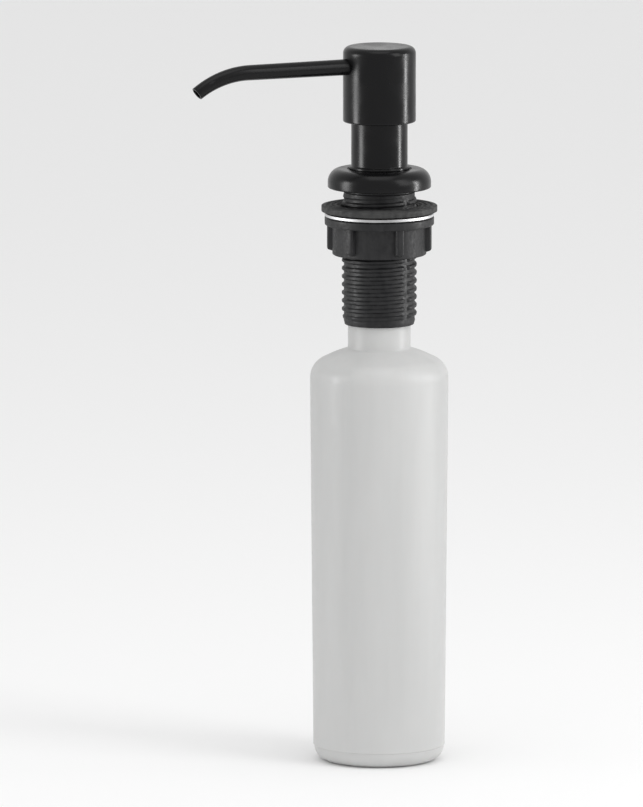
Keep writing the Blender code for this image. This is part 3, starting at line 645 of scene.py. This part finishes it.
# ----------------------------------------
# Pump cap and its gasket.  A white screwed cap with a finely knurled rim that guides the stem
# and hangs the pump from the collar's top, over a thin black rubber gasket.
# ----------------------------------------
def knurl(piece, radius, bottom, top, count, depth):
    """Press fine upright grooves into a plain stretch of wall."""
    for vertex in piece.data.vertices:
        x, y, z = vertex.co
        r = hypot(x, y)
        if abs(r - radius) < 0.01 * mm and bottom <= z <= top:
            groove = 0.5 - 0.5 * cos(count * turn_of(x, y))
            vertex.co.x *= (r - depth * groove) / r
            vertex.co.y *= (r - depth * groove) / r


white_plastic, tree, shader = bare_finish("white_natural_plastic", (0.7, 0.7, 0.685), 0.42)
shader.inputs["Subsurface Weight"].default_value = 0.15
shader.inputs["Subsurface Radius"].default_value = (1.0, 0.95, 0.85)
shader.inputs["Subsurface Scale"].default_value = 1.5 * mm
drift = spread_of(tree, mottling(tree, 150.0, 4.0, (1.0, 1.0, 0.3)), 0.0, 1.0)
colour_drift(tree, shader, drift, (0.655, 0.655, 0.637), (0.72, 0.72, 0.705))
roughness_drift(tree, shader, mottling(tree, 600.0, 4.0), 0.36, 0.5)
surface_relief(tree, shader, (mottling(tree, 1800.0, 3.0), 0.008 * mm))

cap_wall = 1.2 * mm
cap_corner = 0.2 * mm
stem_hole = 2.8 * mm
fine_pitch = 1.0 * mm
cap_ring_inner = 6.2 * mm
cap_ring_outer = 8.2 * mm
cap_ring_slope = 0.2 * mm
cap_ring_depth = 0.15 * mm
low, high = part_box("chaplet")
cap_bottom = high.z - 1.0 * mm
cap_skirt = bore - 0.3 * mm
cap_outline = [(high.x - cap_corner, high.z), (high.x, high.z - cap_corner),
               (high.x, cap_bottom + cap_corner), (high.x - cap_corner, cap_bottom),
               (cap_skirt, cap_bottom), (cap_skirt, low.z + 0.3 * mm),
               (cap_skirt - 0.3 * mm, low.z), (cap_skirt - cap_wall + 0.2 * mm, low.z)]
cap_outline += plain_wall(cap_skirt - cap_wall, low.z + 0.2 * mm, cap_bottom - 0.6 * mm, 0.2 * mm)
cap_outline += [(cap_skirt - cap_wall, cap_bottom), (stem_hole + 0.2 * mm, cap_bottom),
                (stem_hole, cap_bottom + 0.2 * mm), (stem_hole, high.z - 0.3 * mm),
                (stem_hole + 0.3 * mm, high.z), (cap_ring_inner, high.z),
                (cap_ring_inner + cap_ring_slope, high.z - cap_ring_depth),
                (cap_ring_outer - cap_ring_slope, high.z - cap_ring_depth),
                (cap_ring_outer, high.z)]
pump_cap = turned_piece("pump_cap", cap_outline, 144)
knurl(pump_cap, high.x, cap_bottom, high.z, 48, 0.25 * mm)
wind_thread(pump_cap, cap_skirt - cap_wall, low.z + 0.3 * mm, cap_bottom - 0.7 * mm, 0.2 * mm,
            fine_pitch)
fit_piece(pump_cap, white_plastic, "white_plastic", "pump_unit", "chaplet")

low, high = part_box("collar_gasket")
cap_gasket = ribbed_ring("pump_cap_gasket", high.x, bore, low.z, high.z, (0.5,), 0.12 * mm,
                         0.06 * mm)
fit_piece(cap_gasket, rubber, "rubber", "pump_unit", "collar_gasket")

# ----------------------------------------
# Pump body.  White moulded cylinder: a threaded top for the cap, a bleed hole under it, four
# stiffening ribs, and a snout with the lower ball's chamber and the dip tube's socket.
# ----------------------------------------
body_top_radius = 6.95 * mm
body_radius_low = 6.2 * mm
cylinder_bore = 5.2 * mm
chamber_radius = 2.5 * mm
seat_radius_low = 1.2 * mm
tube_socket = 2.8 * mm
snout = 4.2 * mm
low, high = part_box("pump_housing")
thread_end = 19.1 * mm
cylinder_floor = -8.2 * mm
chamber_bottom = -13.2 * mm
throat_top = -14.5 * mm
socket_top = -15.3 * mm
body_outline = [(body_top_radius - 0.2 * mm, high.z)]
body_outline += plain_wall(body_top_radius, high.z - 0.2 * mm, thread_end + 0.4 * mm, 0.2 * mm)
body_outline += [(body_top_radius, thread_end), (body_radius_low, thread_end - 0.75 * mm),
                 (body_radius_low, cylinder_floor - 0.4 * mm)]
body_outline += rounded(body_radius_low - 0.6 * mm, cylinder_floor - 0.4 * mm, 0.6 * mm,
                        0.0, -60.0, 4)
body_outline += [(snout + 0.1 * mm, chamber_bottom + 0.6 * mm), (snout, chamber_bottom),
                 (snout, low.z + 0.9 * mm), (snout - 0.15 * mm, low.z + 0.6 * mm),
                 (snout - 0.15 * mm, low.z + 0.2 * mm), (snout - 0.35 * mm, low.z),
                 (tube_socket + 0.3 * mm, low.z), (tube_socket, low.z + 0.4 * mm),
                 (tube_socket, socket_top), (seat_radius_low, socket_top),
                 (seat_radius_low, throat_top), (chamber_radius, chamber_bottom),
                 (chamber_radius, cylinder_floor), (cylinder_bore - 0.2 * mm, cylinder_floor),
                 (cylinder_bore, cylinder_floor + 0.2 * mm), (cylinder_bore, high.z - 0.3 * mm),
                 (cylinder_bore + 0.2 * mm, high.z)]
pump_body = turned_piece("pump_cylinder", body_outline, 96)
wind_thread(pump_body, body_top_radius, thread_end + 0.2 * mm, high.z - 0.1 * mm, -0.25 * mm,
            fine_pitch)
bleed_radius = 0.6 * mm
bleed_height = 16.6 * mm
let_go()
bpy.ops.mesh.primitive_cylinder_add(vertices=24, radius=bleed_radius, depth=3.0 * mm,
                                    location=(body_radius_low, 0.0, bleed_height),
                                    rotation=(0.0, pi / 2.0, 0.0))
weld(pump_body, bpy.context.object, 'DIFFERENCE')
fin_count = 4
fin_thickness = 0.8 * mm
fin_draft = 0.6
fin_reach = 0.6 * mm
fin_root = 0.6 * mm
fin_low = cylinder_floor + 0.8 * mm
fin_high = 13.0 * mm
for number in range(fin_count):
    let_go()
    bpy.ops.mesh.primitive_cube_add(size=1.0, scale=(fin_reach + fin_root, fin_thickness,
                                                     fin_high - fin_low),
                                    location=(body_radius_low + (fin_reach - fin_root) / 2.0, 0.0,
                                              (fin_low + fin_high) / 2.0))
    fin = bpy.context.object
    settle()
    for vertex in fin.data.vertices:
        if vertex.co.x > body_radius_low:
            vertex.co.y *= fin_draft
            vertex.co.z += -fin_reach if vertex.co.z > 0.0 else fin_reach
    fin.rotation_euler.z = radians(45.0 + 360.0 / fin_count * number)
    settle()
    weld(pump_body, fin)
fit_piece(pump_body, white_plastic, "white_plastic", "pump_unit", "pump_housing")

# ----------------------------------------
# Dip tube.  Extruded cloudy tube pushed into the snout, cut off at a slant at the bottom so
# that it never seals itself against the bottle's floor.
# ----------------------------------------
cloudy_tube, tree, shader = bare_finish("cloudy_tube", (0.74, 0.75, 0.74), 0.34)
shader.inputs["Transmission Weight"].default_value = 0.35
shader.inputs["Subsurface Weight"].default_value = 0.2
shader.inputs["Subsurface Scale"].default_value = 1.0 * mm
draw_lines = spread_of(tree, mottling(tree, 900.0, 3.0, (1.0, 1.0, 0.02)), 0.0, 1.0)
colour_drift(tree, shader, draw_lines, (0.69, 0.7, 0.69), (0.77, 0.78, 0.77))
roughness_drift(tree, shader, mottling(tree, 240.0, 4.0), 0.28, 0.42)
surface_relief(tree, shader, (mottling(tree, 1500.0, 2.0, (1.0, 1.0, 0.02)), 0.01 * mm))

tube_wall = 0.8 * mm
tube_slant = tan(radians(35.0))
low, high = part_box("dip_tube")
tube_outline = [(high.x, high.z - 0.1 * mm)]
tube_outline += plain_wall(high.x, high.z - 2.0 * mm, low.z, 12.0 * mm)
tube_outline += plain_wall(high.x - tube_wall, low.z, high.z - 2.0 * mm, 12.0 * mm)
tube_outline += [(high.x - tube_wall, high.z - 0.1 * mm), (high.x - tube_wall + 0.1 * mm, high.z),
                 (high.x - 0.1 * mm, high.z)]
dip_tube = turned_piece("slant_cut_tube", tube_outline, 48)
for vertex in dip_tube.data.vertices:
    if vertex.co.z < low.z + 0.1 * mm:
        vertex.co.z += (vertex.co.x + high.x) * tube_slant
fit_piece(dip_tube, cloudy_tube, "clear_tube", "pump_unit", "dip_tube")

# ----------------------------------------
# Valve balls and cage.  Two ground and polished stainless balls, the lower one kept in its
# chamber by a moulded cage with four flow slots that also carries the spring.
# ----------------------------------------
polished_steel, tree, shader = bare_finish("polished_ball_steel", (0.7, 0.7, 0.71), 0.12, 1.0)
haze = spread_of(tree, mottling(tree, 500.0, 4.0), 0.0, 1.0)
colour_drift(tree, shader, haze, (0.64, 0.64, 0.65), (0.74, 0.74, 0.75))
roughness_drift(tree, shader, mottling(tree, 900.0, 4.0), 0.08, 0.2)
surface_relief(tree, shader, (mottling(tree, 2600.0, 2.0), 0.002 * mm))


def valve_ball(name, node, body):
    """A ball rounded from a finely divided cube, so that it has no poles."""
    ball_low, ball_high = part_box(node)
    centre = (ball_low + ball_high) / 2.0
    radius = (ball_high.z - ball_low.z) / 2.0
    let_go()
    bpy.ops.mesh.primitive_cube_add(size=radius, location=centre)
    ball = bpy.context.object
    ball.name = ball.data.name = name
    bpy.ops.object.mode_set(mode='EDIT')
    bpy.ops.mesh.subdivide(number_cuts=15)
    bpy.ops.object.mode_set(mode='OBJECT')
    settle()
    for vertex in ball.data.vertices:
        vertex.co = centre + (vertex.co - centre).normalized() * radius
    fit_piece(ball, polished_steel, "steel", body, node)


valve_ball("inlet_valve_ball", "inlet_ball", "inlet_valve")
valve_ball("outlet_valve_ball", "outlet_ball", "outlet_valve")

slot_count = 4
slot_radius = 0.75 * mm
slot_circle = 2.9 * mm
spring_seat = (4.0 * mm, 4.5 * mm)
cage_edge = 0.15 * mm
low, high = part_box("ball_cage")
cage_outline = [(high.x - cage_edge, high.z), (high.x, high.z - cage_edge),
                (high.x, low.z + cage_edge), (high.x - cage_edge, low.z),
                (seat_radius_low + cage_edge, low.z), (seat_radius_low, low.z + cage_edge),
                (seat_radius_low, high.z - cage_edge), (seat_radius_low + cage_edge, high.z),
                (spring_seat[0], high.z), (spring_seat[0] + 0.1 * mm, high.z - 0.1 * mm),
                (spring_seat[1] - 0.1 * mm, high.z - 0.1 * mm), (spring_seat[1], high.z)]
cage = turned_piece("slotted_ball_cage", cage_outline, 64)
for number in range(slot_count):
    angle = 2.0 * pi * number / slot_count
    let_go()
    bpy.ops.mesh.primitive_cylinder_add(vertices=24, radius=slot_radius, depth=4.0 * mm,
                                        location=(slot_circle * cos(angle),
                                                  slot_circle * sin(angle),
                                                  (low.z + high.z) / 2.0))
    weld(cage, bpy.context.object, 'DIFFERENCE')
fit_piece(cage, white_plastic, "white_plastic", "pump_unit", "ball_cage")

# ----------------------------------------
# Return spring.  Hard-drawn stainless wire, wound right-handed with a closed turn at each end,
# and both ends ground flat to sit square.  It shortens as the head goes down.
# ----------------------------------------
spring_wire, tree, shader = bare_finish("drawn_spring_wire", (0.58, 0.58, 0.59), 0.26, 1.0)
oil = spread_of(tree, mottling(tree, 300.0, 4.0), 0.0, 1.0)
colour_drift(tree, shader, oil, (0.5, 0.49, 0.48), (0.64, 0.64, 0.65))
roughness_drift(tree, shader, mottling(tree, 1200.0, 4.0), 0.2, 0.36)
surface_relief(tree, shader, (mottling(tree, 2400.0, 3.0), 0.004 * mm))

wire_radius = 0.45 * mm
spring_turns = 7
end_pitch = 0.98 * mm
steps_per_turn = 40
ground_away = 0.12 * mm
low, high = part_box("return_spring")
coil_radius = high.x - wire_radius - 0.02 * mm
wire_low = low.z + wire_radius - ground_away
wire_high = high.z - wire_radius + ground_away
open_pitch = (wire_high - wire_low - 2.0 * end_pitch) / (spring_turns - 2.0)
cut_reach = 0.0001 * mm
wire_line = bpy.data.curves.new("spring_line", 'CURVE')
wire_line.dimensions = '3D'
wire_line.bevel_depth = wire_radius
wire_line.bevel_resolution = 4
wire_line.use_fill_caps = True
line = wire_line.splines.new('POLY')
line.points.add(spring_turns * steps_per_turn)
for step in range(spring_turns * steps_per_turn + 1):
    turn = step / steps_per_turn
    closed_turns = min(turn, 1.0) + max(turn - (spring_turns - 1.0), 0.0)
    angle = 2.0 * pi * turn
    line.points[step].co = (coil_radius * cos(angle), coil_radius * sin(angle),
                            wire_low + closed_turns * end_pitch
                            + (turn - closed_turns) * open_pitch, 1.0)
spring = bpy.data.objects.new("wound_return_spring", wire_line)
bpy.context.collection.objects.link(spring)
let_go()
spring.select_set(True)
bpy.context.view_layer.objects.active = spring
bpy.ops.object.convert(target='MESH')
spring = bpy.context.object
spring.data.name = spring.name
bpy.ops.object.mode_set(mode='EDIT')
bpy.ops.mesh.select_all(action='SELECT')
bpy.ops.mesh.remove_doubles(threshold=merge_reach)
bpy.ops.mesh.normals_make_consistent(inside=False)
bpy.ops.mesh.bisect(plane_co=(0.0, 0.0, low.z), plane_no=(0.0, 0.0, 1.0), use_fill=True,
                    clear_inner=True, threshold=cut_reach)
bpy.ops.mesh.select_all(action='SELECT')
bpy.ops.mesh.bisect(plane_co=(0.0, 0.0, high.z), plane_no=(0.0, 0.0, 1.0), use_fill=True,
                    clear_outer=True, threshold=cut_reach)
bpy.ops.object.mode_set(mode='OBJECT')
fit_piece(spring, spring_wire, "steel", "pump_unit", "return_spring")
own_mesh(spring)

# ----------------------------------------
# Plunger.  A hollow white stem with a foot for the spring and the upper ball's seat, a black
# rubber piston with two flared lips on it, and the lip seal that wipes it under the cap.
# ----------------------------------------
stem_bore = 1.4 * mm
stem_radius = 2.5 * mm
upper_seat = 0.8 * mm
upper_chamber = 1.8 * mm
stem_grip = (42.2 * mm, 41.5 * mm)
stem_foot_top = 19.0 * mm
upper_seat_bottom = 38.8 * mm
upper_seat_top = 39.6 * mm
low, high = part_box("stem")
foot_radius_stem = high.x
stem_outline = [(stem_radius - 0.2 * mm, high.z), (stem_radius, high.z - 0.3 * mm),
                (stem_radius, stem_grip[0]), (stem_radius - 0.1 * mm, stem_grip[0] - 0.1 * mm),
                (stem_radius - 0.1 * mm, stem_grip[1] + 0.1 * mm), (stem_radius, stem_grip[1]),
                (stem_radius, stem_foot_top + 0.2 * mm), (stem_radius + 0.2 * mm, stem_foot_top),
                (foot_radius_stem - 0.2 * mm, stem_foot_top),
                (foot_radius_stem, stem_foot_top - 0.2 * mm),
                (foot_radius_stem, low.z + 0.2 * mm), (foot_radius_stem - 0.2 * mm, low.z),
                (stem_bore + 0.2 * mm, low.z), (stem_bore, low.z + 0.2 * mm),
                (stem_bore, upper_seat_bottom), (upper_seat, upper_seat_bottom),
                (upper_seat, upper_seat_top), (upper_chamber, upper_seat_top + 1.0 * mm),
                (upper_chamber, high.z)]
stem = turned_piece("hollow_stem", stem_outline, 64)
fit_piece(stem, white_plastic, "white_plastic", "plunger", "stem")

piston_lip = 1.2 * mm
lip_thickness = 0.45 * mm
low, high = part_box("piston")
waist = high.x - 0.85 * mm
upper_lip = [(high.x - lip_thickness, high.z), (high.x, high.z - 0.12 * mm),
             (high.x, high.z - 0.5 * mm), (high.x - 0.25 * mm, high.z - piston_lip),
             (waist, high.z - 2.0 * piston_lip)]
lower_lip = [(r, low.z + high.z - z) for r, z in reversed(upper_lip)]
lip_groove = [(high.x - lip_thickness - 0.3 * mm, low.z + 0.7 * mm),
              (stem_hole + 0.6 * mm, low.z + 0.7 * mm), (stem_hole + 0.5 * mm, low.z),
              (stem_hole, low.z + 0.1 * mm)]
piston_outline = upper_lip + lower_lip + lip_groove
piston_outline += [(r, low.z + high.z - z) for r, z in reversed(lip_groove)]
piston = turned_piece("lipped_piston", piston_outline, 72)
fit_piece(piston, rubber, "rubber", "plunger", "piston")

low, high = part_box("stem_seal")
seal_outline = [(high.x - 0.2 * mm, high.z), (high.x, high.z - 0.2 * mm),
                (high.x, low.z + 0.2 * mm), (high.x - 0.2 * mm, low.z),
                (stem_hole + 0.9 * mm, low.z), (stem_hole + 0.7 * mm, low.z + 0.5 * mm),
                (stem_hole + 0.35 * mm, low.z + 0.1 * mm), (stem_hole, low.z + 0.1 * mm),
                (stem_hole, high.z - 0.15 * mm), (stem_hole + 0.15 * mm, high.z)]
stem_seal = turned_piece("stem_wiper_seal", seal_outline, 64)
fit_piece(stem_seal, rubber, "rubber", "pump_unit", "stem_seal")

# ----------------------------------------
# Head.  Satin black metal cap, deep drawn: a rounded top edge, a top that dips very slightly,
# a straight skirt with a turned-in rim, and a side hole that the spout comes out of.
# ----------------------------------------
def lying_along_spout(name, radius, start, end, height, sides=48):
    """A plain bar along -Y to cut a bore with, from one distance off the axis to another."""
    let_go()
    bpy.ops.mesh.primitive_cylinder_add(vertices=sides, radius=radius, depth=end - start,
                                        location=(0.0, -(start + end) / 2.0, height),
                                        rotation=(pi / 2.0, 0.0, 0.0))
    bar = bpy.context.object
    bar.name = name
    settle()
    return bar


spout_radius = 3.0 * mm
spout_height = 45.4 * mm
head_edge = 2.6 * mm
head_wall = 1.6 * mm
top_dip = 0.2 * mm
rim_edge = 0.6 * mm
low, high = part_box("pump_head")
head_radius = high.x
skirt_bore = head_radius - head_wall
head_outline = [(r * mm, high.z - top_dip * share) for r, share in
                ((0.0, 1.0), (3.0, 0.95), (6.0, 0.7), (8.5, 0.35), (10.0, 0.08))]
head_outline += rounded(head_radius - head_edge, high.z - head_edge, head_edge, 90.0, 0.0, 14)
head_outline += plain_wall(head_radius, high.z - head_edge - 1.0 * mm,
                           low.z + rim_edge + 0.2 * mm, 3.0 * mm)
head_outline += rounded(head_radius - rim_edge, low.z + rim_edge, rim_edge, 0.0, -90.0, 6)
head_outline += rounded(skirt_bore + 0.3 * mm, low.z + 0.3 * mm, 0.3 * mm, -90.0, -180.0, 3)
head_outline += [(skirt_bore, high.z - head_wall - 0.5 * mm),
                 (skirt_bore - 0.5 * mm, high.z - head_wall), (0.0, high.z - head_wall)]
head = turned_piece("drawn_head", head_outline, 160, ring=False)
weld(head, lying_along_spout("head_side_bore", spout_radius + 0.08 * mm, skirt_bore - 2.0 * mm,
                             head_radius + 2.0 * mm, spout_height, 64), 'DIFFERENCE')
fit_piece(head, satin_black, "satin_black", "head", "pump_head")

# ----------------------------------------
# Head core.  White moulded plug glued up inside the head: a socket for the stem below, a
# stepped side bore that grips the spout, and an O-ring groove in that bore.
# ----------------------------------------
low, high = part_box("head_insert")
core_radius = high.x
core_edge = 0.3 * mm
core_waist = 0.15 * mm
core_hollow = (9.6 * mm, 6.0 * mm)
channel = 1.0 * mm
stem_socket_top = low.z + 2.6 * mm
core_outline = [(0.0, high.z), (core_radius - core_edge, high.z),
                (core_radius, high.z - core_edge), (core_radius, high.z - 2.0 * mm),
                (core_radius - core_waist, high.z - 2.2 * mm),
                (core_radius - core_waist, low.z + 2.2 * mm), (core_radius, low.z + 2.0 * mm),
                (core_radius, low.z + core_edge), (core_radius - core_edge, low.z),
                (core_hollow[0], low.z), (core_hollow[0] - 0.2 * mm, low.z + 0.6 * mm),
                (core_hollow[1] + 0.2 * mm, low.z + 0.6 * mm), (core_hollow[1], low.z),
                (stem_hole + 0.3 * mm, low.z), (stem_hole, low.z + 0.3 * mm),
                (stem_hole, stem_socket_top), (channel, stem_socket_top),
                (channel, spout_height), (0.0, spout_height)]
core = turned_piece("head_core", core_outline, 96, ring=False)
ring_at = 7.25 * mm
groove_half = 0.8 * mm
groove_radius = 4.6 * mm
weld(core, lying_along_spout("core_spout_bore", spout_radius + 0.1 * mm, 4.2 * mm,
                             core_radius + 2.0 * mm, spout_height), 'DIFFERENCE')
weld(core, lying_along_spout("core_ring_groove", groove_radius, ring_at - groove_half,
                             ring_at + groove_half, spout_height), 'DIFFERENCE')
weld(core, lying_along_spout("core_channel", channel - 0.02 * mm, 0.0, 5.0 * mm, spout_height),
     'DIFFERENCE')
fit_piece(core, white_plastic, "white_plastic", "head", "head_insert")

# ----------------------------------------
# Spout.  Thin metal tube in the same satin black, straight out of the head and then bent down,
# drawn a little thinner towards its square-cut tip.  A plastic liner carries the detergent.
# ----------------------------------------
def bent_tube(name, radius, tip_radius, wall, start, bend_degrees, sides=64):
    """Push a circle out along the spout's line, ring by ring, and give the skin its wall."""
    let_go()
    bpy.ops.mesh.primitive_circle_add(vertices=sides, radius=radius,
                                      location=(0.0, -start, spout_height),
                                      rotation=(pi / 2.0, 0.0, 0.0))
    tube = bpy.context.object
    tube.name = tube.data.name = name
    settle()
    bpy.ops.object.mode_set(mode='EDIT')
    bpy.ops.mesh.select_all(action='SELECT')
    stations = [(-start - (spout_straight - start) * step / straight_steps, spout_height, 0.0)
                for step in range(straight_steps + 1)]
    for step in range(1, bend_steps + 1):
        angle = radians(bend_degrees * step / bend_steps)
        stations.append((-spout_straight - spout_bend * sin(angle),
                         spout_height - spout_bend * (1.0 - cos(angle)), angle))
    thinning = (tip_radius / radius) ** (1.0 / (len(stations) - 1))
    for before, after in zip(stations, stations[1:]):
        bpy.ops.mesh.extrude_edges_move(TRANSFORM_OT_translate={
            "value": (0.0, after[0] - before[0], after[1] - before[1])})
        here = (0.0, after[0], after[1])
        bpy.ops.transform.resize(value=(thinning,) * 3, center_override=here)
        if after[2] > before[2]:
            bpy.ops.transform.rotate(value=before[2] - after[2], orient_axis='X',
                                     center_override=here)
    bpy.ops.mesh.select_all(action='SELECT')
    bpy.ops.mesh.normals_make_consistent(inside=False)
    bpy.ops.object.mode_set(mode='OBJECT')
    skin = tube.modifiers.new("wall", 'SOLIDIFY')
    skin.thickness = wall
    skin.offset = -1.0
    skin.use_even_offset = True
    bpy.ops.object.modifier_apply(modifier=skin.name)
    return tube


straight_steps = 12
bend_steps = 24
spout_straight = 52.0 * mm
spout_bend = 35.4 * mm
spout_bend_degrees = 36.0
tip_radius = 2.49 * mm
spout_wall = 0.6 * mm
spout_start = 4.5 * mm
spout = bent_tube("bent_spout", spout_radius, tip_radius, spout_wall, spout_start,
                  spout_bend_degrees)
ease_corners(spout, 0.12 * mm, 3, 60.0)
fit_piece(spout, satin_black, "satin_black", "head", "spout")

liner_recess = 1.6 * mm
liner_radius = 1.6 * mm
liner_bend = spout_bend_degrees - liner_recess / spout_bend * 180.0 / pi
liner = bent_tube("spout_liner_tube", liner_radius, liner_radius * 0.99, 0.55 * mm,
                  spout_start + 0.3 * mm, liner_bend, 32)
ease_corners(liner, 0.08 * mm, 2, 60.0)
fit_piece(liner, white_plastic, "white_plastic", "head", "spout_liner")

ring_section = 0.5 * mm
ring_radius = 3.8 * mm
flash = 0.03 * mm
ring_outline = rounded(ring_radius, 0.0, ring_section, 8.0, 352.0, 22)
ring_outline += [(ring_radius + ring_section + flash, -flash),
                 (ring_radius + ring_section + flash, flash)]
spout_ring = turned_piece("spout_ring", ring_outline, 72)
spout_ring.rotation_euler.x = pi / 2.0
spout_ring.location = (0.0, -ring_at, spout_height)
settle()
fit_piece(spout_ring, rubber, "rubber", "head", "spout_o_ring")
